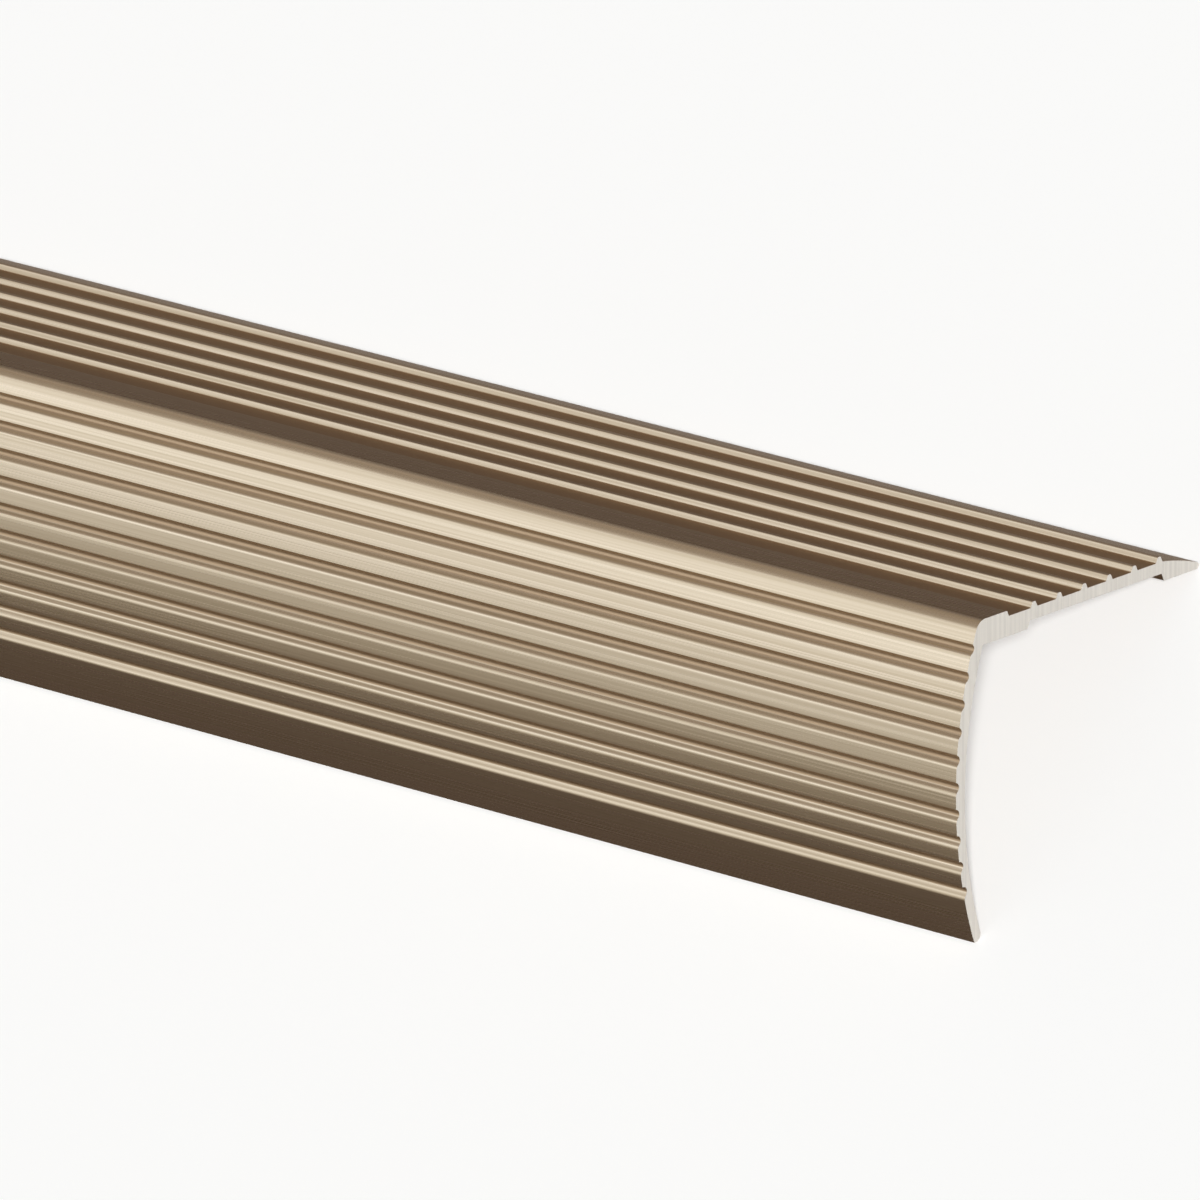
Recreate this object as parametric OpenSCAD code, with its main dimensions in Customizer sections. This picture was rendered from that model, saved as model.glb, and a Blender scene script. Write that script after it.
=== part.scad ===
// Stair nosing: one aluminium extrusion that wraps the edge of a step.
// Its section has a ribbed tread and a bowed, grooved leg, and is drawn as it sits on a step.
// The piece lies on the floor like a tent, on the tip of the leg and the back edge of the tread.
// X runs along the length, the leg is on the -Y side and Z = 0 is the floor.

/* [Overall] */
// Length that the piece is cut to
length = 900; // [300:50:2700]
// Depth of the tread, from the front of the nose to the back edge
tread_depth = 47.5; // [47:0.1:52]
// Drop of the leg, from the top of the ribs to its tip
leg_drop = 45.2; // [41.4:0.2:48]

/* [Tread] */
// Thickness of the tread plate between its ribs
plate_t = 1.7; // [1.4:0.05:2.2]
// Depth of the smooth land behind the nose
land_depth = 7.05; // [5:0.05:8]
// Depth of the thick block under the nose
block_depth = 11.85; // [9:0.05:13]
// Depth of the recess for the adhesive tape, under the plate
recess_depth = 1.1; // [0.6:0.05:1.5]
// Width of the recess at its roof
recess_w = 27.75; // [24:0.25:29]
// How far each end of the recess leans outward
recess_lean = 0.5; // [0.2:0.1:1]
// Radius of the convex slope down to the back edge
slope_r = 45; // [20:1:60]
// Thickness of the rounded back edge
back_edge_t = 1; // [0.5:0.05:1.2]

/* [Ribs] */
// Number of ribs on the tread
rib_count = 6; // [2:1:6]
// Spacing of the ribs
rib_pitch = 5.27; // [4:0.01:5.4]
// Distance from the front of the nose to the middle of the last rib
last_rib = 39.05; // [38:0.05:39.5]
// Height of a rib
rib_h = 0.8; // [0.4:0.05:1]
// Width of a rib at its base
rib_base_w = 1.4; // [1.2:0.1:2]
// Width of a rib at its top
rib_top_w = 0.6; // [0.1:0.1:0.8]

/* [Leg] */
// Thickness of the leg at its belly
leg_t = 1.85; // [1.6:0.05:2.2]
// How far the inner face's centre lies below the outer face's, which thins the leg toward its tip
leg_taper = 0.8; // [0:0.1:1.2]
// Radius of the leg's outer face
leg_r = 62; // [56:0.5:70]
// How far the belly of the leg stands out in front of the nose
leg_belly = 3.35; // [3:0.05:4]
// Depth of the belly below the top of the ribs
belly_depth = 23.17; // [22:0.01:25]
// Radius of the nose, between the land and the leg
nose_r = 2; // [1.4:0.1:3]
// Radius of the leg's tip, which touches the inner face and ends in an edge on the outer face
tip_r = 1; // [0.9:0.05:1.4]

/* [Grooves] */
// Number of grooves along the leg
groove_count = 10; // [1:1:10]
// Spacing of the grooves, measured around the leg
groove_pitch = 3.79; // [2.8:0.01:3.8]
// Depth of the first groove below the top of the ribs
first_groove = 3.84; // [3.6:0.02:4.4]
// Width of a groove at the leg's face
groove_w = 1.7; // [1.2:0.05:2]
// How deep a groove is cut into the leg's face
groove_depth = 0.6; // [0.3:0.05:0.6]

/* [Hidden] */
$fn = 96;
anodised = "#CDBB9C";

// Levels below the top of the ribs
valley = -rib_h;
roof = valley - plate_t;
seat = roof - recess_depth;

// The leg lies between two arcs, and its tip is a round that touches the inner one
leg_centre = [leg_r - leg_belly, -belly_depth];
inner_centre = leg_centre - [0, leg_taper];
inner_r = leg_r - leg_t;
inner_seat_angle = 180 - asin((seat - inner_centre.y) / inner_r);
inner_tip_angle = 180 + asin((inner_centre.y + leg_drop - tip_r) / (inner_r + tip_r));
tip_centre = inner_centre + polar(inner_r + tip_r, inner_tip_angle);
tip_reach = norm(tip_centre - leg_centre);
tip_spread = acos((pow(leg_r, 2) + pow(tip_reach, 2) - pow(tip_r, 2)) / (2 * leg_r * tip_reach));
outer_tip_angle = 180 + direction(leg_centre - tip_centre) + tip_spread;
tip_edge = leg_centre + polar(leg_r, outer_tip_angle);

// The nose touches the land above it and runs smoothly into the leg's outer face
nose_reach = sqrt(pow(leg_r - nose_r, 2) - pow(belly_depth - nose_r, 2));
nose_centre = [leg_centre.x - nose_reach, -nose_r];
nose_angle = 180 - atan2(belly_depth - nose_r, nose_reach);

// The slope starts at the foot of the last rib and runs smoothly into the rounded back edge
rib_run = (rib_base_w - rib_top_w) / 2;
slope_start = [last_rib + rib_base_w / 2, valley];
back_edge_r = back_edge_t / 2;
back_edge = [tread_depth - back_edge_r, seat + back_edge_r];
slope_chord = norm(back_edge - slope_start);
slope_dir = (back_edge - slope_start) / slope_chord;
slope_along = (pow(slope_r, 2) - pow(slope_r - back_edge_r, 2) + pow(slope_chord, 2)) / (2 * slope_chord);
slope_under = sqrt(pow(slope_r, 2) - pow(slope_along, 2));
slope_centre = slope_start + slope_along * slope_dir + slope_under * [slope_dir.y, -slope_dir.x];
slope_start_angle = direction(slope_start - slope_centre);
slope_end_angle = direction(back_edge - slope_centre);

// A groove is part of a round, whose middle lies at groove_reach from leg_centre
groove_bottom = leg_r - groove_depth;
groove_sag = sqrt(pow(leg_r, 2) - pow(groove_w / 2, 2)) - groove_bottom;
groove_r = (pow(groove_w / 2, 2) + pow(groove_sag, 2)) / (2 * groove_sag);
groove_reach = groove_bottom + groove_r;
first_groove_angle = 180 - asin((belly_depth - first_groove) / leg_r);
groove_step = groove_pitch / leg_r * 180 / PI;

// Turn and shift that set the leg's tip and the back edge on the floor
foot_span = back_edge - tip_centre;
rest_angle = direction(foot_span) + asin((tip_r - back_edge_r) / norm(foot_span));
leg_foot = turned(tip_centre, -rest_angle);
leg_front = turned(tip_edge, -rest_angle);
back_foot = turned(back_edge, -rest_angle);
rest_shift = [-(leg_front.x + back_foot.x + back_edge_r) / 2, tip_r - leg_foot.y];

function direction(v) = atan2(v.y, v.x);

function turned(p, a) = [p.x * cos(a) - p.y * sin(a), p.x * sin(a) + p.y * cos(a)];

function polar(r, a) = [r * cos(a), r * sin(a)];

// Points of an arc in steps of about step_deg, leaving out its two end points where asked
function arc(centre, r, from, to, step_deg = 2, ends = true) =
    let (n = ceil(abs(to - from) / step_deg), skip = ends ? 0 : 1)
    [for (i = [skip : n - skip]) centre + polar(r, from + (to - from) * i / n)];

function rib(middle) = [
    [middle - rib_base_w / 2, valley],
    [middle - rib_top_w / 2, 0],
    [middle + rib_top_w / 2, 0],
    [middle + rib_base_w / 2, valley]
];

// Outline of the section from the nose back over the tread, and home under it and around the leg
outline = concat(
    arc(nose_centre, nose_r, nose_angle, 90, 8),
    [[land_depth, 0], [land_depth + rib_run, valley]],
    [for (i = [rib_count - 1 : -1 : 0], p = rib(last_rib - i * rib_pitch)) p],
    arc(slope_centre, slope_r, slope_start_angle, slope_end_angle, 2, false),
    arc(back_edge, back_edge_r, slope_end_angle, -90, 15),
    [
        [block_depth + recess_w + recess_lean, seat],
        [block_depth + recess_w, roof],
        [block_depth, roof],
        [block_depth - recess_lean, seat]
    ],
    [inner_centre + polar(inner_r, inner_seat_angle)],
    arc(inner_centre, inner_r, inner_seat_angle, inner_tip_angle, 1, false),
    arc(tip_centre, tip_r, inner_tip_angle - 180, direction(tip_edge - tip_centre), 12),
    arc(leg_centre, leg_r, outer_tip_angle, nose_angle, 1, false)
);

module grooves() {
    for (i = [0 : groove_count - 1])
        translate(leg_centre + polar(groove_reach, first_groove_angle + i * groove_step))
            circle(r = groove_r);
}

module section() {
    difference() {
        polygon(outline);
        grooves();
    }
}

module nosing_profile() {
    color(anodised)
        rotate([90, 0, 90])
            linear_extrude(height = length, center = true)
                translate(rest_shift)
                    rotate(-rest_angle)
                        section();
}

nosing_profile();
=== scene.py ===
"""Studio picture of a stair nosing: the swept aluminium profile, its finishes, light and camera."""

import logging
import math
from dataclasses import dataclass, field
from enum import Enum
from typing import Any

import bpy
from mathutils import Matrix, Vector


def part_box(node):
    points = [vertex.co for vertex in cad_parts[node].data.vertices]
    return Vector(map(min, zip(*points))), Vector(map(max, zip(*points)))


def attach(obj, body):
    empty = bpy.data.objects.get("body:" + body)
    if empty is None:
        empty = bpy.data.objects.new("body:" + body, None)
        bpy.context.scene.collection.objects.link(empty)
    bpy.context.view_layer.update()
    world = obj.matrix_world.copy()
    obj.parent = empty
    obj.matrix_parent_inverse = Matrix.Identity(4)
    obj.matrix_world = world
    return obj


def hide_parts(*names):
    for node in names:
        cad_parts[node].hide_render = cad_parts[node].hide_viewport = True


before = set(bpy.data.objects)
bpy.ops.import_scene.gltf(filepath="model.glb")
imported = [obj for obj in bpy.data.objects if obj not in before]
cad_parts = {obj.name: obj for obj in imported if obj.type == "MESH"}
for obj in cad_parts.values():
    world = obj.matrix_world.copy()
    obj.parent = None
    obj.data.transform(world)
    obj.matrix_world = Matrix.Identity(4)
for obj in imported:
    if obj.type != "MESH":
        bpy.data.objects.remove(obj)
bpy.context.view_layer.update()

MM = 0.001
HALF_TURN = 180.0
# Name of the point attribute that marks polished metal, and dull metal whose darker colour is painted
# shade
POLISH_AND_SHADE = "polish_and_shade"

# Degrees between the points of an arc, fine on the wide faces and coarse on the small rounds
FACE_STEP = 0.5
BOW_STEP = 1.0
NOSE_STEP = 4.0
CORNER_STEP = 8.0
TIP_STEP = 9.0
BACK_EDGE_STEP = 12.0
LIP_STEP = 15.0

# Places of a Mix node's sockets, which have the same names for numbers and for colours
NUMBER_A, NUMBER_B, NUMBER_OUT = 2, 3, 0
COLOUR_A, COLOUR_B, COLOUR_OUT = 6, 7, 2

log = logging.getLogger("stair_nosing")


class Turn(Enum):
    """Which way an arc of the outline runs around its centre."""

    CLOCKWISE = -1
    COUNTER = 1


class Seen(Enum):
    """Which rays meet a piece of the studio."""

    BY_ALL = "all"
    IN_REFLECTIONS = "reflections"


def linear(hex_colour: str) -> tuple[float, float, float, float]:
    """Turns an sRGB colour into linear light.

    Args:
        hex_colour: The colour as six hex digits after a hash sign.

    Returns:
        Red, green, blue and a full alpha.
    """
    channels = [int(hex_colour[i : i + 2], 16) / 255 for i in (1, 3, 5)]
    red, green, blue = (c / 12.92 if c <= 0.04045 else ((c + 0.055) / 1.055) ** 2.4 for c in channels)
    return red, green, blue, 1.0


def polar(radius: float, angle: float) -> Vector:
    """Gives the flat vector of this length, at this angle in radians."""
    return Vector((math.cos(angle), math.sin(angle))) * radius


def direction(vector: Vector) -> float:
    """Gives a flat vector's angle in radians."""
    return math.atan2(vector.y, vector.x)


def add_node(
    tree: bpy.types.NodeTree, kind: str, links: dict[str | int, Any] | None = None, **settings: Any
) -> bpy.types.Node:
    """Adds one node to a tree.

    Args:
        tree: The shader or geometry tree.
        kind: The node's type name.
        links: Each input's name or place, with the socket that feeds it or the value that it holds.
        settings: The node's own settings, such as its operation.

    Returns:
        The new node.
    """
    node = tree.nodes.new(kind)
    for name, value in settings.items():
        setattr(node, name, value)
    for name, value in (links or {}).items():
        if isinstance(value, bpy.types.NodeSocket):
            tree.links.new(value, node.inputs[name])
        else:
            node.inputs[name].default_value = value
    return node


@dataclass
class Pen:
    """Draws an outline from point to point, in millimetres, and notes where the metal is polished and
    where it is dull with painted shade.
    """

    points: list[Vector]
    polish_and_shade: list[float]
    polished_not_shaded: bool = True
    # Straight stretches have a point this close to each end, which keeps their shading flat
    support: float = 0.05

    def add(self, point: Vector) -> None:
        """Marks one point, and whether the metal there is polished or dull with painted shade."""
        self.points.append(point)
        self.polish_and_shade.append(1.0 if self.polished_not_shaded else 0.0)

    def line_to(self, end: Vector) -> None:
        """Draws a straight stretch.

        Args:
            end: Where the stretch ends.
        """
        start = self.points[-1]
        run = end - start
        if run.length > 4 * self.support:
            inset = run.normalized() * self.support
            self.add(start + inset)
            self.add(end - inset)
        self.add(end)

    def arc_to(self, end: Vector, centre: Vector, turn: Turn, step: float) -> None:
        """Draws a round stretch.

        Args:
            end: A point that the stretch ends in line with, as seen from the centre.
            centre: The middle of the circle that it follows.
            turn: Which way it goes around.
            step: About how many degrees lie between two points.
        """
        spoke = self.points[-1] - centre
        start = direction(spoke)
        sweep = (direction(end - centre) - start) * turn.value % math.tau
        count = math.ceil(sweep / math.radians(step))
        for i in range(1, count + 1):
            self.add(centre + polar(spoke.length, start + turn.value * sweep * i / count))

    def corner(self, corner: Vector, after: Vector, ease: float) -> None:
        """Draws on to a corner and around it.

        Args:
            corner: The sharp corner that the round one lies in.
            after: The point that the pen heads for after it.
            ease: The radius of the round corner.
        """
        back = (self.points[-1] - corner).normalized()
        ahead = (after - corner).normalized()
        half = back.angle(ahead) / 2
        inset = ease / math.tan(half)
        centre = corner + (back + ahead).normalized() * (ease / math.sin(half))
        turn = Turn.COUNTER if ahead.cross(back) > 0 else Turn.CLOCKWISE
        self.line_to(corner + back * inset)
        self.arc_to(corner + ahead * inset, centre, turn, CORNER_STEP)


@dataclass(frozen=True)
class Tread:
    """The ribbed plate that lies on the step, in millimetres."""

    depth: float = 47.5
    plate: float = 1.7
    land_depth: float = 7.05
    block_depth: float = 11.85
    recess_depth: float = 1.1
    recess_width: float = 27.75
    recess_lean: float = 0.5
    slope_radius: float = 45.0
    back_edge: float = 1.0
    rib_count: int = 6
    rib_pitch: float = 5.27
    last_rib: float = 39.05
    rib_height: float = 0.8
    rib_base: float = 1.4
    rib_top: float = 0.6
    # Radii of the small rounds on the corners
    rib_ease: float = 0.15
    recess_ease: float = 0.2

    @property
    def roof(self) -> float:
        """Gives the height of the recess's roof, under the plate."""
        return -self.rib_height - self.plate

    @property
    def seat(self) -> float:
        """Gives the height of the faces that lie on the step."""
        return self.roof - self.recess_depth

    @property
    def back_centre(self) -> Vector:
        """Gives the middle of the rounded back edge."""
        return Vector((self.depth - self.back_edge / 2, self.seat + self.back_edge / 2))

    def top_corners(self) -> list[Vector]:
        """Lists the corners of the ribbed top, from the land to the foot of the last rib.

        Returns:
            The sharp corners, front to back.
        """
        valley = -self.rib_height
        run = (self.rib_base - self.rib_top) / 2
        corners = [Vector((self.land_depth, 0)), Vector((self.land_depth + run, valley))]
        for i in reversed(range(self.rib_count)):
            middle = self.last_rib - i * self.rib_pitch
            for width, height in ((self.rib_base, valley), (self.rib_top, 0)):
                corners.append(Vector((middle - width / 2, height)))
            for width, height in ((self.rib_top, 0), (self.rib_base, valley)):
                corners.append(Vector((middle + width / 2, height)))
        return corners

    def under_corners(self) -> list[Vector]:
        """Lists the corners of the tape recess, back to front.

        Returns:
            The sharp corners under the plate.
        """
        back = self.block_depth + self.recess_width
        return [
            Vector((back + self.recess_lean, self.seat)),
            Vector((back, self.roof)),
            Vector((self.block_depth, self.roof)),
            Vector((self.block_depth - self.recess_lean, self.seat)),
        ]

    def draw_top(self, pen: Pen) -> None:
        """Draws the land, the ribs, the slope behind them and the back edge.

        Args:
            pen: The pen, at the front of the land.
        """
        corners = self.top_corners()
        for corner, after in zip(corners, corners[1:]):
            # The valleys between the ribs are dull, and their darker colour is painted shade
            pen.polished_not_shaded = corner.y > -self.rib_height / 2
            pen.corner(corner, after, self.rib_ease)
        pen.line_to(corners[-1])
        # The slope's arc runs smoothly into the round of the back edge
        edge_radius = self.back_edge / 2
        chord = self.back_centre - corners[-1]
        across = self.slope_radius**2 - (self.slope_radius - edge_radius) ** 2 + chord.length_squared
        along = across / (2 * chord.length)
        under = math.sqrt(self.slope_radius**2 - along**2)
        ahead = chord.normalized()
        centre = corners[-1] + ahead * along + Vector((ahead.y, -ahead.x)) * under
        meeting = centre + (self.back_centre - centre).normalized() * self.slope_radius
        pen.arc_to(meeting, centre, Turn.CLOCKWISE, BOW_STEP)
        bottom = self.back_centre - Vector((0, edge_radius))
        pen.arc_to(bottom, self.back_centre, Turn.CLOCKWISE, BACK_EDGE_STEP)

    def draw_under(self, pen: Pen, after: Vector) -> None:
        """Draws the tape recess between the two faces that lie on the step.

        Args:
            pen: The pen, under the back edge.
            after: The point that the pen heads for next.
        """
        corners = [*self.under_corners(), after]
        # The tape recess is dull, and its darker colour is painted shade
        pen.polished_not_shaded = False
        for corner, following in zip(corners, corners[1:]):
            pen.corner(corner, following, self.recess_ease)
        pen.polished_not_shaded = True


@dataclass(frozen=True)
class Leg:
    """The bowed, grooved leg that covers the front of the step, in millimetres."""

    drop: float = 45.2
    thickness: float = 1.85
    taper: float = 0.8
    outer_radius: float = 62.0
    belly: float = 3.35
    belly_depth: float = 23.17
    nose_radius: float = 2.0
    tip_radius: float = 1.0
    groove_count: int = 10
    groove_pitch: float = 3.79
    first_groove: float = 3.84
    groove_width: float = 1.7
    groove_depth: float = 0.6
    # How much deeper each groove is than the one above it, with groove_depth in the middle of the row
    groove_deepening: float = 0.03
    groove_radius: float = 0.72
    # Slopes from the leg's face: of a groove's lower wall, and of its bottom where the dull part begins,
    # whose darker colour is painted shade
    lower_wall: float = math.radians(43)
    dull_shade_slope: float = math.radians(29)
    # Radii of a groove's two lips and of the corner under the nose
    upper_lip: float = 0.08
    lower_lip: float = 0.8
    inner_ease: float = 0.5

    @property
    def centre(self) -> Vector:
        """Gives the middle of the outer face's arc."""
        return Vector((self.outer_radius - self.belly, -self.belly_depth))

    @property
    def inner_centre(self) -> Vector:
        """Gives the middle of the inner face's arc, set lower to thin the leg toward its tip."""
        return self.centre - Vector((0, self.taper))

    @property
    def inner_radius(self) -> float:
        """Gives the radius of the leg's inner face."""
        return self.outer_radius - self.thickness

    @property
    def tip(self) -> Vector:
        """Finds the tip's round, which touches the inner face.

        Returns:
            The round's middle.
        """
        reach = self.inner_radius + self.tip_radius
        fall = math.asin((self.inner_centre.y + self.drop - self.tip_radius) / reach)
        return self.inner_centre + polar(reach, math.pi + fall)

    @property
    def tip_edge(self) -> Vector:
        """Finds the edge where the tip's round ends on the outer face.

        Returns:
            The point of the edge.
        """
        spoke = self.tip - self.centre
        across = self.outer_radius**2 + spoke.length_squared - self.tip_radius**2
        spread = math.acos(across / (2 * self.outer_radius * spoke.length))
        return self.centre + polar(self.outer_radius, direction(spoke) + spread)

    @property
    def nose_centre(self) -> Vector:
        """Finds the nose's round, which meets the land and the leg's outer face smoothly.

        Returns:
            The round's middle.
        """
        rise = self.belly_depth - self.nose_radius
        reach = math.sqrt((self.outer_radius - self.nose_radius) ** 2 - rise**2)
        return Vector((self.centre.x - reach, -self.nose_radius))

    def inner_point(self, height: float) -> Vector:
        """Finds the point of the leg's inner face at a height.

        Args:
            height: The height above the tops of the ribs.

        Returns:
            The point.
        """
        rise = math.asin((height - self.inner_centre.y) / self.inner_radius)
        return self.inner_centre + polar(self.inner_radius, math.pi - rise)

    def draw_inner(self, pen: Pen, seat: float) -> None:
        """Draws the corner under the nose, the inner face and the tip.

        Args:
            pen: The pen, on the seat behind the leg.
            seat: The height of the seat.
        """
        pen.corner(self.inner_point(seat), self.inner_point(seat - 2 * self.inner_ease), self.inner_ease)
        inward = (self.inner_centre - self.tip).normalized() * self.tip_radius
        pen.arc_to(self.tip + inward, self.inner_centre, Turn.COUNTER, BOW_STEP)
        pen.arc_to(self.tip_edge, self.tip, Turn.CLOCKWISE, TIP_STEP)

    def draw_groove(self, pen: Pen, angle: float, depth: float) -> None:
        """Draws the outer face up to one groove, and its worn lip, straight lower wall and round bottom.

        Args:
            pen: The pen, on the outer face below the groove.
            angle: The angle of the groove's mouth on the leg.
            depth: How deep it is.
        """
        # The round bottom touches the small round of the upper lip
        reach = self.outer_radius - depth + self.groove_radius
        inset = self.outer_radius - self.upper_lip
        across = inset**2 + reach**2 - (self.groove_radius + self.upper_lip) ** 2
        spread = math.acos(across / (2 * inset * reach))
        upper_angle = angle - self.groove_width / 2 / self.outer_radius
        upper = self.centre + polar(inset, upper_angle)
        middle = self.centre + polar(reach, upper_angle + spread)
        # The lower wall leaves the bottom at its slope, and meets the outer face at the lower lip
        wall_foot = middle + polar(self.groove_radius, angle + math.pi - self.lower_wall)
        wall = polar(1, angle + math.pi / 2 - self.lower_wall)
        foot = wall_foot - self.centre
        along = foot.dot(wall)
        rise = math.sqrt(along**2 + self.outer_radius**2 - foot.length_squared) - along
        lower = wall_foot + wall * rise
        before = direction(lower - self.centre) + self.lower_lip / self.outer_radius
        pen.arc_to(self.centre + polar(self.outer_radius, before), self.centre, Turn.CLOCKWISE, FACE_STEP)
        pen.corner(lower, wall_foot, self.lower_lip)
        pen.line_to(wall_foot)
        # The bottom's upper part is dull, and its darker colour is painted shade
        dull_shade_start = middle + polar(self.groove_radius, angle + math.pi - self.dull_shade_slope)
        pen.arc_to(dull_shade_start, middle, Turn.COUNTER, CORNER_STEP)
        pen.polished_not_shaded = False
        pen.arc_to(upper, middle, Turn.COUNTER, CORNER_STEP)
        pen.polished_not_shaded = True
        pen.arc_to(upper * 2 - self.centre, upper, Turn.CLOCKWISE, LIP_STEP)

    def draw_outer(self, pen: Pen) -> None:
        """Draws the grooved outer face from the tip up to the nose, and the nose.

        Args:
            pen: The pen, at the outer side of the tip.
        """
        first = math.pi - math.asin((self.belly_depth - self.first_groove) / self.outer_radius)
        middle = (self.groove_count - 1) / 2
        for i in reversed(range(self.groove_count)):
            depth = self.groove_depth + self.groove_deepening * (i - middle)
            self.draw_groove(pen, first + i * self.groove_pitch / self.outer_radius, depth)
        outward = (self.nose_centre - self.centre).normalized() * self.nose_radius
        pen.arc_to(self.nose_centre + outward, self.centre, Turn.CLOCKWISE, FACE_STEP)
        top = self.nose_centre + Vector((0, self.nose_radius))
        pen.arc_to(top, self.nose_centre, Turn.CLOCKWISE, NOSE_STEP)


@dataclass(frozen=True)
class RestPose:
    """How the section turns from its place on a step to its place on the floor."""

    angle: float
    shift: Vector

    @classmethod
    def of(cls, tread: Tread, leg: Leg) -> "RestPose":
        """Finds the pose in which the leg's tip and the back edge lie on the floor.

        Args:
            tread: The tread, whose back edge is one foot.
            leg: The leg, whose tip is the other.

        Returns:
            The pose, with the section's width centred.
        """
        edge_radius = tread.back_edge / 2
        span = tread.back_centre - leg.tip
        angle = direction(span) + math.asin((leg.tip_radius - edge_radius) / span.length)
        turn = Matrix.Rotation(-angle, 2)
        front, back = turn @ leg.tip_edge, turn @ tread.back_centre
        middle = (front.x + back.x + edge_radius) / 2
        return cls(angle, Vector((-middle, leg.tip_radius - (turn @ leg.tip).y)))

    def place(self, point: Vector) -> Vector:
        """Moves a point of the section to the floor."""
        return Matrix.Rotation(-self.angle, 2) @ point + self.shift

    def turn(self) -> Matrix:
        """Gives the turn about the length, for points in space."""
        return Matrix.Rotation(-self.angle, 3, "X")


@dataclass(frozen=True)
class AnodisedAluminium:
    """Satin champagne anodising over an extruded surface."""

    # Gives the eye a warm satin sheen with faint lines along the length, duller in the recesses, whose
    # darker colour is painted shade

    name: str = "anodised_aluminium"
    colour: str = "#DDCDB6"
    streak_colour: str = "#CAB99F"
    # Painted shade: the darker colour of the grooves, rib valleys and tape recess
    recess_shade_colour: str = "#BAA184"
    roughness: tuple[float, float] = (0.25, 0.33)
    recess_roughness: float = 0.42
    # The lines of a die are finer, and are drawn as wide as they need to be to show
    streak_width: float = 0.35 * MM
    streak_length: float = 260 * MM
    streak_depth: float = 0.004 * MM
    streak_detail: float = 3.0
    streak_range: tuple[float, float] = (0.35, 0.65)

    def material(self) -> bpy.types.Material:
        """Builds the finish.

        Returns:
            The material, warm satin metal with the faint lines that the die leaves along the length.
        """
        material = bpy.data.materials.new(self.name)
        material.use_nodes = True
        tree = material.node_tree
        shader = tree.nodes["Principled BSDF"]
        place = add_node(tree, "ShaderNodeTexCoord").outputs["Object"]
        grain = (1 / self.streak_length, 1 / self.streak_width, 1 / self.streak_width)
        along = add_node(tree, "ShaderNodeMapping", {"Vector": place, "Scale": grain})
        noise = add_node(
            tree,
            "ShaderNodeTexNoise",
            {"Vector": along.outputs["Vector"], "Scale": 1.0, "Detail": self.streak_detail},
        )
        faint, strong = self.streak_range
        streaks = add_node(
            tree,
            "ShaderNodeMapRange",
            {"Value": noise.outputs["Fac"], "From Min": faint, "From Max": strong},
        )
        tone = add_node(
            tree,
            "ShaderNodeMix",
            {
                "Factor": streaks.outputs["Result"],
                COLOUR_A: linear(self.streak_colour),
                COLOUR_B: linear(self.colour),
            },
            data_type="RGBA",
        )
        low, high = self.roughness
        gloss = add_node(
            tree, "ShaderNodeMapRange", {"Value": streaks.outputs["Result"], "To Min": high, "To Max": low}
        )
        # Where the outline marks dull metal, a darker colour paints the shade of the recesses
        polish_and_shade = add_node(tree, "ShaderNodeAttribute", attribute_name=POLISH_AND_SHADE).outputs["Fac"]
        recess_shaded_tone = add_node(
            tree,
            "ShaderNodeMix",
            {"Factor": polish_and_shade, COLOUR_A: linear(self.recess_shade_colour), COLOUR_B: tone.outputs[COLOUR_OUT]},
            data_type="RGBA",
        )
        worn_gloss = add_node(
            tree,
            "ShaderNodeMix",
            {"Factor": polish_and_shade, NUMBER_A: self.recess_roughness, NUMBER_B: gloss.outputs["Result"]},
        )
        relief = add_node(
            tree, "ShaderNodeBump", {"Height": streaks.outputs["Result"], "Distance": self.streak_depth}
        )
        shader.inputs["Metallic"].default_value = 1.0
        tree.links.new(recess_shaded_tone.outputs[COLOUR_OUT], shader.inputs["Base Color"])
        tree.links.new(worn_gloss.outputs[NUMBER_OUT], shader.inputs["Roughness"])
        tree.links.new(relief.outputs["Normal"], shader.inputs["Normal"])
        return material


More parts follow.
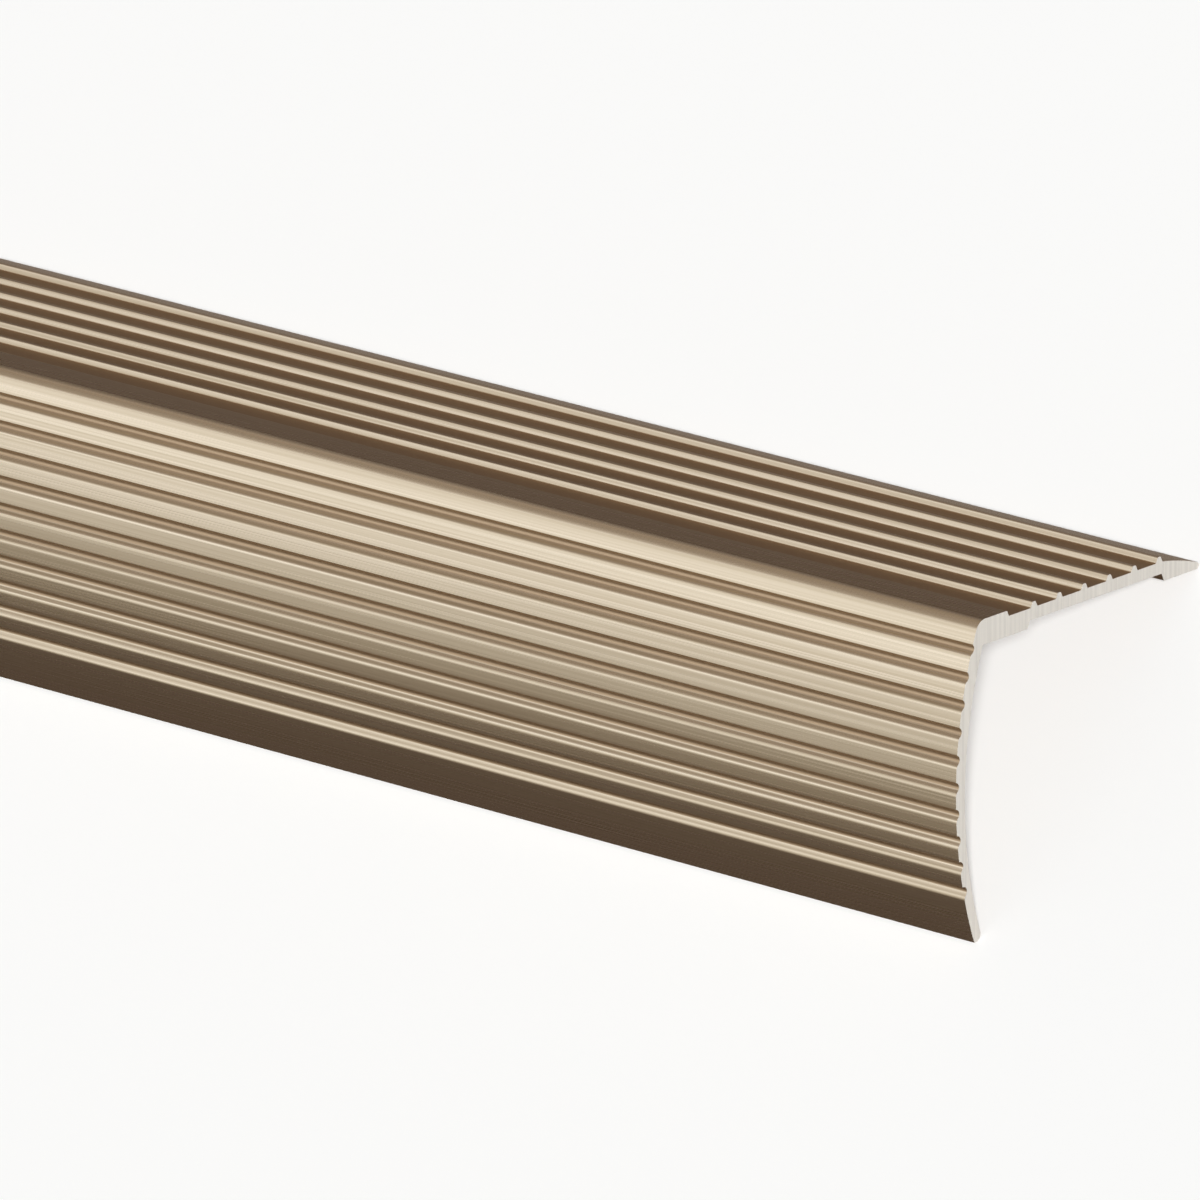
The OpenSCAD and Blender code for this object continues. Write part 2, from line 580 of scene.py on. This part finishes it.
@dataclass(frozen=True)
class SawCutAluminium:
    """Bare aluminium where the saw went through."""

    # Gives the eye a pale, matt end with the blade's faint upright lines

    name: str = "saw_cut_aluminium"
    colour: str = "#EEE9E0"
    line_colour: str = "#CBC6C0"
    roughness: tuple[float, float] = (0.35, 0.5)
    # The lines of a fine blade are closer, and are drawn as wide as they need to be to show
    line_width: float = 0.5 * MM
    line_length: float = 30 * MM
    line_depth: float = 0.006 * MM
    line_detail: float = 4.0

    def material(self, pose: RestPose) -> bpy.types.Material:
        """Builds the finish.

        Args:
            pose: The section's pose, whose turn the blade's lines share.

        Returns:
            The material, pale grey metal with the fine lines that the blade leaves.
        """
        material = bpy.data.materials.new(self.name)
        material.use_nodes = True
        tree = material.node_tree
        shader = tree.nodes["Principled BSDF"]
        place = add_node(tree, "ShaderNodeTexCoord").outputs["Object"]
        upright = add_node(
            tree, "ShaderNodeVectorRotate", {"Vector": place, "Angle": pose.angle}, rotation_type="X_AXIS"
        )
        grain = (1 / self.line_width, 1 / self.line_width, 1 / self.line_length)
        along = add_node(tree, "ShaderNodeMapping", {"Vector": upright.outputs["Vector"], "Scale": grain})
        lines = add_node(
            tree,
            "ShaderNodeTexNoise",
            {"Vector": along.outputs["Vector"], "Scale": 1.0, "Detail": self.line_detail},
        )
        tone = add_node(
            tree,
            "ShaderNodeMix",
            {
                "Factor": lines.outputs["Fac"],
                COLOUR_A: linear(self.line_colour),
                COLOUR_B: linear(self.colour),
            },
            data_type="RGBA",
        )
        low, high = self.roughness
        gloss = add_node(
            tree, "ShaderNodeMapRange", {"Value": lines.outputs["Fac"], "To Min": high, "To Max": low}
        )
        relief = add_node(
            tree, "ShaderNodeBump", {"Height": lines.outputs["Fac"], "Distance": self.line_depth}
        )
        shader.inputs["Metallic"].default_value = 1.0
        tree.links.new(tone.outputs[COLOUR_OUT], shader.inputs["Base Color"])
        tree.links.new(gloss.outputs["Result"], shader.inputs["Roughness"])
        tree.links.new(relief.outputs["Normal"], shader.inputs["Normal"])
        return material


class StockRule:
    """The nodes that turn a section into a length of extruded stock."""

    def __init__(self) -> None:
        """Starts the tree, with its named inputs and its output."""
        self.tree = bpy.data.node_groups.new("extruded_stock", "GeometryNodeTree")
        sockets = {
            "Section": "NodeSocketGeometry",
            "Length": "NodeSocketFloat",
            "Steps": "NodeSocketInt",
            "Sharp Angle": "NodeSocketFloat",
            "Side Finish": "NodeSocketMaterial",
            "End Finish": "NodeSocketMaterial",
        }
        for name, kind in sockets.items():
            self.tree.interface.new_socket(name, in_out="INPUT", socket_type=kind)
        self.tree.interface.new_socket("Stock", in_out="OUTPUT", socket_type="NodeSocketGeometry")
        self.given = add_node(self.tree, "NodeGroupInput").outputs

    def swept(self) -> bpy.types.NodeSocket:
        """Sweeps the section along the length.

        Returns:
            The bare stock, closed at both ends.
        """
        tree, given = self.tree, self.given
        profile = add_node(tree, "GeometryNodeMeshToCurve", {"Mesh": given["Section"]})
        half = add_node(tree, "ShaderNodeMath", {0: given["Length"], 1: 0.5}, operation="MULTIPLY")
        less = add_node(tree, "ShaderNodeMath", {0: half.outputs[0], 1: -1.0}, operation="MULTIPLY")
        start = add_node(tree, "ShaderNodeCombineXYZ", {"X": less.outputs[0]})
        end = add_node(tree, "ShaderNodeCombineXYZ", {"X": half.outputs[0]})
        axis = add_node(
            tree, "GeometryNodeCurvePrimitiveLine", {"Start": start.outputs[0], "End": end.outputs[0]}
        )
        spaced = add_node(
            tree, "GeometryNodeResampleCurve", {"Curve": axis.outputs["Curve"], "Count": given["Steps"]}
        )
        # Half a turn about the length sets the section on its feet
        upright = add_node(
            tree, "GeometryNodeSetCurveTilt", {"Curve": spaced.outputs["Curve"], "Tilt": math.pi}
        )
        swept = add_node(
            tree,
            "GeometryNodeCurveToMesh",
            {
                "Curve": upright.outputs["Curve"],
                "Profile Curve": profile.outputs["Curve"],
                "Fill Caps": True,
            },
        )
        return swept.outputs["Mesh"]

    def creased(self, stock: bpy.types.NodeSocket) -> bpy.types.NodeSocket:
        """Shades the stock smooth, apart from the edges that bend more than the sharp angle.

        Args:
            stock: The bare stock.

        Returns:
            The shaded stock.
        """
        smooth = add_node(self.tree, "GeometryNodeSetShadeSmooth", {"Geometry": stock}, domain="FACE")
        bend = add_node(self.tree, "GeometryNodeInputMeshEdgeAngle")
        sharp = add_node(
            self.tree,
            "FunctionNodeCompare",
            {0: bend.outputs["Unsigned Angle"], 1: self.given["Sharp Angle"]},
            data_type="FLOAT",
            operation="GREATER_THAN",
        )
        creased = add_node(
            self.tree,
            "GeometryNodeSetShadeSmooth",
            {
                "Geometry": smooth.outputs["Geometry"],
                "Selection": sharp.outputs["Result"],
                "Shade Smooth": False,
            },
            domain="EDGE",
        )
        return creased.outputs["Geometry"]

    def dressed(self, stock: bpy.types.NodeSocket) -> bpy.types.NodeSocket:
        """Gives the sides and the cut ends their finishes.

        Args:
            stock: The shaded stock.

        Returns:
            The finished stock.
        """
        tree, given = self.tree, self.given
        plain = add_node(tree, "GeometryNodeRealizeInstances", {"Geometry": stock})
        sides = add_node(
            tree,
            "GeometryNodeSetMaterial",
            {"Geometry": plain.outputs["Geometry"], "Material": given["Side Finish"]},
        )
        # A cut end faces along the length, so its normal's X squared is 1, and on the sides it is 0
        normal = add_node(tree, "GeometryNodeInputNormal")
        facing = add_node(tree, "ShaderNodeSeparateXYZ", {"Vector": normal.outputs["Normal"]})
        square = add_node(tree, "ShaderNodeMath", {0: facing.outputs["X"], 1: 2.0}, operation="POWER")
        is_end = add_node(
            tree,
            "FunctionNodeCompare",
            {0: square.outputs[0], 1: 0.5},
            data_type="FLOAT",
            operation="GREATER_THAN",
        )
        ends = add_node(
            tree,
            "GeometryNodeSetMaterial",
            {
                "Geometry": sides.outputs["Geometry"],
                "Selection": is_end.outputs["Result"],
                "Material": given["End Finish"],
            },
        )
        return ends.outputs["Geometry"]

    def build(self) -> bpy.types.GeometryNodeTree:
        """Joins the steps from the section to the finished stock.

        Returns:
            The tree, whose inputs take the length, its steps, the sharp angle and the two finishes.
        """
        stock = self.dressed(self.creased(self.swept()))
        add_node(self.tree, "NodeGroupOutput", {"Stock": stock})
        return self.tree


@dataclass(frozen=True)
class NosingProfile:
    """The whole nosing: one section drawn once and swept along the length of the stock."""

    tread: Tread = field(default_factory=Tread)
    leg: Leg = field(default_factory=Leg)
    sides: AnodisedAluminium = field(default_factory=AnodisedAluminium)
    ends: SawCutAluminium = field(default_factory=SawCutAluminium)
    node: str = "nosing_profile"
    length_steps: int = 10
    sharp_angle: float = math.radians(24)

    @property
    def pose(self) -> RestPose:
        """Gives the section's pose on the floor."""
        return RestPose.of(self.tread, self.leg)

    def outline(self) -> Pen:
        """Draws the section as it sits on a step, from the land over the tread and home around the leg.

        Returns:
            The pen, with the outline's points in millimetres, clockwise and back at the first one.
        """
        pen = Pen([self.leg.nose_centre + Vector((0, self.leg.nose_radius))], [1.0])
        self.tread.draw_top(pen)
        self.tread.draw_under(pen, self.leg.inner_point(self.tread.seat))
        self.leg.draw_inner(pen, self.tread.seat)
        self.leg.draw_outer(pen)
        return pen

    def section(self) -> bpy.types.Object:
        """Makes the section's outline as a loop of edges, on its feet and in metres.

        Returns:
            An object with the outline in its own XY plane, wound counter-clockwise.
        """
        pen = self.outline()
        points = [self.pose.place(point) * MM for point in pen.points[:0:-1]]
        mesh = bpy.data.meshes.new(self.node)
        edges = [(i, (i + 1) % len(points)) for i in range(len(points))]
        mesh.from_pydata([point.to_3d() for point in points], edges, [])
        # Each point notes polished metal, or dull metal whose darker colour is painted shade
        polish_and_shade = mesh.attributes.new(POLISH_AND_SHADE, "FLOAT", "POINT")
        polish_and_shade.data.foreach_set("value", pen.polish_and_shade[:0:-1])
        piece = bpy.data.objects.new("nosing_extrusion", mesh)
        bpy.context.scene.collection.objects.link(piece)
        return piece

    def build(self) -> bpy.types.Object:
        """Sweeps the section along the CAD node's length and dresses it.

        Returns:
            The finished piece, which stands for the CAD node.
        """
        low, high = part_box(self.node)
        piece = self.section()
        tree = StockRule().build()
        values = {
            "Length": high[0] - low[0],
            "Steps": self.length_steps,
            "Sharp Angle": self.sharp_angle,
            "Side Finish": self.sides.material(),
            "End Finish": self.ends.material(self.pose),
        }
        modifier = piece.modifiers.new("sweep", "NODES")
        modifier.node_group = tree
        for socket in tree.interface.items_tree:
            if socket.name in values:
                modifier[socket.identifier] = values[socket.name]
        outline = piece.data
        shown = piece.evaluated_get(bpy.context.evaluated_depsgraph_get())
        swept = bpy.data.meshes.new_from_object(shown)
        piece.modifiers.remove(modifier)
        piece.data = swept
        bpy.data.meshes.remove(outline)
        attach(piece, "root")
        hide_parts(self.node)
        return piece


@dataclass(frozen=True)
class TentTone:
    """One tone of the light tent, at an angle in degrees up from the floor in front of the object."""

    angle: float
    colour: str


@dataclass(frozen=True)
class FeltStrip:
    """One dark strip on the floor along the object, in metres from its middle toward the back, glowing at
    a fixed tone that paints dark reflections.
    """

    near: float
    far: float
    colour: str


@dataclass(frozen=True)
class Studio:
    """A pale floor, soft light, and the tent and felt that only the metal reflects, in metres."""

    floor_colour: str = "#FAFAF9"
    floor_roughness: float = 0.9
    floor_half: float = 60.0
    sky_strength: float = 0.14
    lamp_side: tuple[float, float, float] = (0.63, -0.35, 0.7)
    lamp_spread: float = math.radians(8)
    lamp_strength: float = 3.87
    # Dark strips in front of, under and behind the object, glowing at fixed tones that paint the dark
    # reflections in the metal
    felt_half_length: float = 0.45
    felt_lift: float = 0.05 * MM
    felt: tuple[FeltStrip, ...] = (
        FeltStrip(-1.1, 0.0316, "#5B4F48"),
        FeltStrip(0.0316, 0.075, "#8B8179"),
        FeltStrip(0.075, 1.1, "#55453B"),
    )
    # Cloth from the floor in front, over the top and down to the floor behind
    tent_radius: float = 1.1
    tent_half_length: float = 2.4
    tent_panels: int = 24
    tent_strength: float = 1.4
    tones: tuple[TentTone, ...] = (
        TentTone(0, "#675E54"),
        TentTone(10, "#7E766B"),
        TentTone(17, "#8E877D"),
        TentTone(24, "#B0AEA8"),
        TentTone(31, "#C9CAC7"),
        TentTone(38, "#D4D5D6"),
        TentTone(45, "#E2E5E8"),
        TentTone(52, "#F5FAFF"),
        TentTone(64, "#F5FAFF"),
        TentTone(71, "#E8EAEC"),
        TentTone(78, "#CDCCCC"),
        TentTone(86, "#AEA9A3"),
        TentTone(93, "#9A928B"),
        TentTone(100, "#938A82"),
        TentTone(107, "#938A82"),
        TentTone(114, "#8D857C"),
        TentTone(121, "#92887F"),
        TentTone(128, "#988E84"),
        TentTone(142, "#9A9086"),
        TentTone(148, "#857C75"),
        TentTone(170, "#6C645E"),
        TentTone(180, "#564F4A"),
    )

    def surface(
        self, name: str, corners: list[tuple[float, ...]], faces: list[tuple[int, ...]], seen: Seen
    ) -> bpy.types.Object:
        """Makes one surface of the studio.

        Args:
            name: The object's name.
            corners: The points.
            faces: The faces, by their points' places in the list.
            seen: Which rays meet it.

        Returns:
            The object.
        """
        mesh = bpy.data.meshes.new(name)
        mesh.from_pydata(corners, [], faces)
        thing = bpy.data.objects.new(name, mesh)
        bpy.context.scene.collection.objects.link(thing)
        if seen is Seen.IN_REFLECTIONS:
            thing.visible_camera = False
            thing.visible_diffuse = False
            thing.visible_shadow = False
            thing.visible_transmission = False
        return thing

    def floor(self) -> bpy.types.Object:
        """Lays the pale matt floor.

        Returns:
            The floor.
        """
        half = self.floor_half
        corners = [(-half, -half, 0), (half, -half, 0), (half, half, 0), (-half, half, 0)]
        floor = self.surface("studio_floor", corners, [(0, 1, 2, 3)], Seen.BY_ALL)
        # Gives the eye a near-white ground that keeps a faint shadow
        paper = bpy.data.materials.new("matt_white_paper")
        paper.use_nodes = True
        shader = paper.node_tree.nodes["Principled BSDF"]
        shader.inputs["Base Color"].default_value = linear(self.floor_colour)
        shader.inputs["Roughness"].default_value = self.floor_roughness
        shader.inputs["Specular IOR Level"].default_value = 0.0
        floor.data.materials.append(paper)
        return floor

    def lay(self, strip: FeltStrip) -> bpy.types.Object:
        """Lays one strip of felt, as long as the object.

        Args:
            strip: The strip.

        Returns:
            The felt, which only reflections show.
        """
        half, lift = self.felt_half_length, self.felt_lift
        corners = [
            (-half, strip.near, lift),
            (half, strip.near, lift),
            (half, strip.far, lift),
            (-half, strip.far, lift),
        ]
        felt = self.surface("felt_strip", corners, [(0, 1, 2, 3)], Seen.IN_REFLECTIONS)
        # Gives the eye nothing itself, only the dark tones in the metal that faces the floor, painted
        # reflections of its fixed glow
        cloth = bpy.data.materials.new("dark_glowing_felt")
        cloth.use_nodes = True
        tree = cloth.node_tree
        tree.nodes.clear()
        glow = add_node(tree, "ShaderNodeEmission", {"Color": linear(strip.colour)})
        add_node(tree, "ShaderNodeOutputMaterial", {"Surface": glow.outputs["Emission"]})
        felt.data.materials.append(cloth)
        return felt

    def tent_cloth(self) -> bpy.types.Material:
        """Builds the lit cloth, whose tone follows the angle around the arch.

        Returns:
            The material.
        """
        # Gives the eye the soft run of tones from bright to dark down the grooved leg
        cloth = bpy.data.materials.new("lit_tent_cloth")
        cloth.use_nodes = True
        tree = cloth.node_tree
        tree.nodes.clear()
        place = add_node(tree, "ShaderNodeTexCoord").outputs["Object"]
        parts = add_node(tree, "ShaderNodeSeparateXYZ", {"Vector": place})
        ahead = add_node(tree, "ShaderNodeMath", {0: parts.outputs["Y"], 1: -1.0}, operation="MULTIPLY")
        angle = add_node(
            tree, "ShaderNodeMath", {0: parts.outputs["Z"], 1: ahead.outputs[0]}, operation="ARCTAN2"
        )
        share = add_node(tree, "ShaderNodeMath", {0: angle.outputs[0], 1: math.pi}, operation="DIVIDE")
        ramp = add_node(tree, "ShaderNodeValToRGB", {"Fac": share.outputs[0]})
        stops = ramp.color_ramp.elements
        for tone in self.tones[1:-1]:
            stops.new(tone.angle / HALF_TURN)
        for stop, tone in zip(stops, self.tones):
            stop.color = linear(tone.colour)
        glow = add_node(
            tree, "ShaderNodeEmission", {"Color": ramp.outputs["Color"], "Strength": self.tent_strength}
        )
        add_node(tree, "ShaderNodeOutputMaterial", {"Surface": glow.outputs["Emission"]})
        return cloth

    def tent(self) -> bpy.types.Object:
        """Pitches the tent, an arch along the object.

        Returns:
            The tent, which only reflections show.
        """
        panels = self.tent_panels
        arch = [polar(self.tent_radius, math.pi * i / panels) for i in range(panels + 1)]
        corners = [(x, -p.x, p.y) for x in (-self.tent_half_length, self.tent_half_length) for p in arch]
        count = len(arch)
        faces = [(i, i + 1, count + i + 1, count + i) for i in range(count - 1)]
        tent = self.surface("light_tent", corners, faces, Seen.IN_REFLECTIONS)
        tent.data.materials.append(self.tent_cloth())
        return tent

    def sky(self) -> bpy.types.World:
        """Makes the soft light from all around, plain white to the camera and in reflections.

        Returns:
            The world.
        """
        world = bpy.data.worlds.new("soft_white_surround")
        world.use_nodes = True
        tree = world.node_tree
        rays = add_node(tree, "ShaderNodeLightPath").outputs
        direct = add_node(tree, "ShaderNodeMath", {0: rays["Is Camera Ray"], 1: rays["Is Glossy Ray"]})
        shown = add_node(tree, "ShaderNodeMath", {0: direct.outputs[0], 1: rays["Is Transmission Ray"]})
        strength = add_node(
            tree, "ShaderNodeMapRange", {"Value": shown.outputs[0], "To Min": self.sky_strength}
        )
        back = tree.nodes["Background"]
        tree.links.new(strength.outputs["Result"], back.inputs["Strength"])
        back.inputs["Color"].default_value = (1.0, 1.0, 1.0, 1.0)
        bpy.context.scene.world = world
        return world

    def lamp(self) -> bpy.types.Object:
        """Sets up the broad soft lamp on the camera's side.

        Returns:
            The lamp, which lights the floor and leaves a soft shadow around the object.
        """
        light = bpy.data.lights.new("broad_soft_lamp", "SUN")
        light.energy = self.lamp_strength
        light.angle = self.lamp_spread
        lamp = bpy.data.objects.new("broad_soft_lamp", light)
        lamp.rotation_euler = Vector(self.lamp_side).to_track_quat("Z", "Y").to_euler()
        lamp.visible_glossy = False
        bpy.context.scene.collection.objects.link(lamp)
        return lamp


@dataclass(frozen=True)
class StudioCamera:
    """A long lens, placed as if the nosing sat on a step, in millimetres and degrees."""

    azimuth: float = 41.09
    elevation: float = 17.5
    lens: float = 552.75
    distance: float = 2456.7
    aim: tuple[float, float, float] = (411.9, -32.0, 2.9)
    # How far it sees, in metres
    sight: float = 100.0

    def place(self, pose: RestPose) -> bpy.types.Object:
        """Sets the camera up, turned with the nosing from the step to the floor.

        Args:
            pose: The nosing's pose on the floor.

        Returns:
            The camera.
        """
        data = bpy.data.cameras.new("studio_camera")
        data.lens = self.lens
        data.clip_end = self.sight
        camera = bpy.data.objects.new("studio_camera", data)
        bpy.context.scene.collection.objects.link(camera)
        around, above = math.radians(self.azimuth), math.radians(self.elevation)
        level = math.cos(above)
        back = Vector((math.sin(around) * level, -math.cos(around) * level, math.sin(above)))
        turn = pose.turn()
        shift = Vector((0, pose.shift.x, pose.shift.y))
        location = (turn @ (Vector(self.aim) + back * self.distance) + shift) * MM
        facing = turn @ (-back).to_track_quat("-Z", "Y").to_matrix()
        camera.matrix_world = Matrix.Translation(location) @ facing.to_4x4()
        bpy.context.scene.camera = camera
        return camera


def main() -> None:
    """Builds the nosing, the studio and the camera, and reports each."""
    logging.basicConfig(level=logging.INFO, format="%(name)s: %(message)s")
    nosing = NosingProfile()
    piece = nosing.build()
    log.info("%s has %d faces", piece.name, len(piece.data.polygons))
    studio = Studio()
    felt = [studio.lay(strip) for strip in studio.felt]
    for thing in (studio.floor(), *felt, studio.tent(), studio.lamp(), studio.sky()):
        log.info("%s is in place", thing.name)
    camera = StudioCamera().place(nosing.pose)
    log.info("%s stands %.2f m up", camera.name, camera.matrix_world.translation.z)
    bpy.context.scene.view_settings.view_transform = "Standard"


if __name__ == "__main__":
    main()
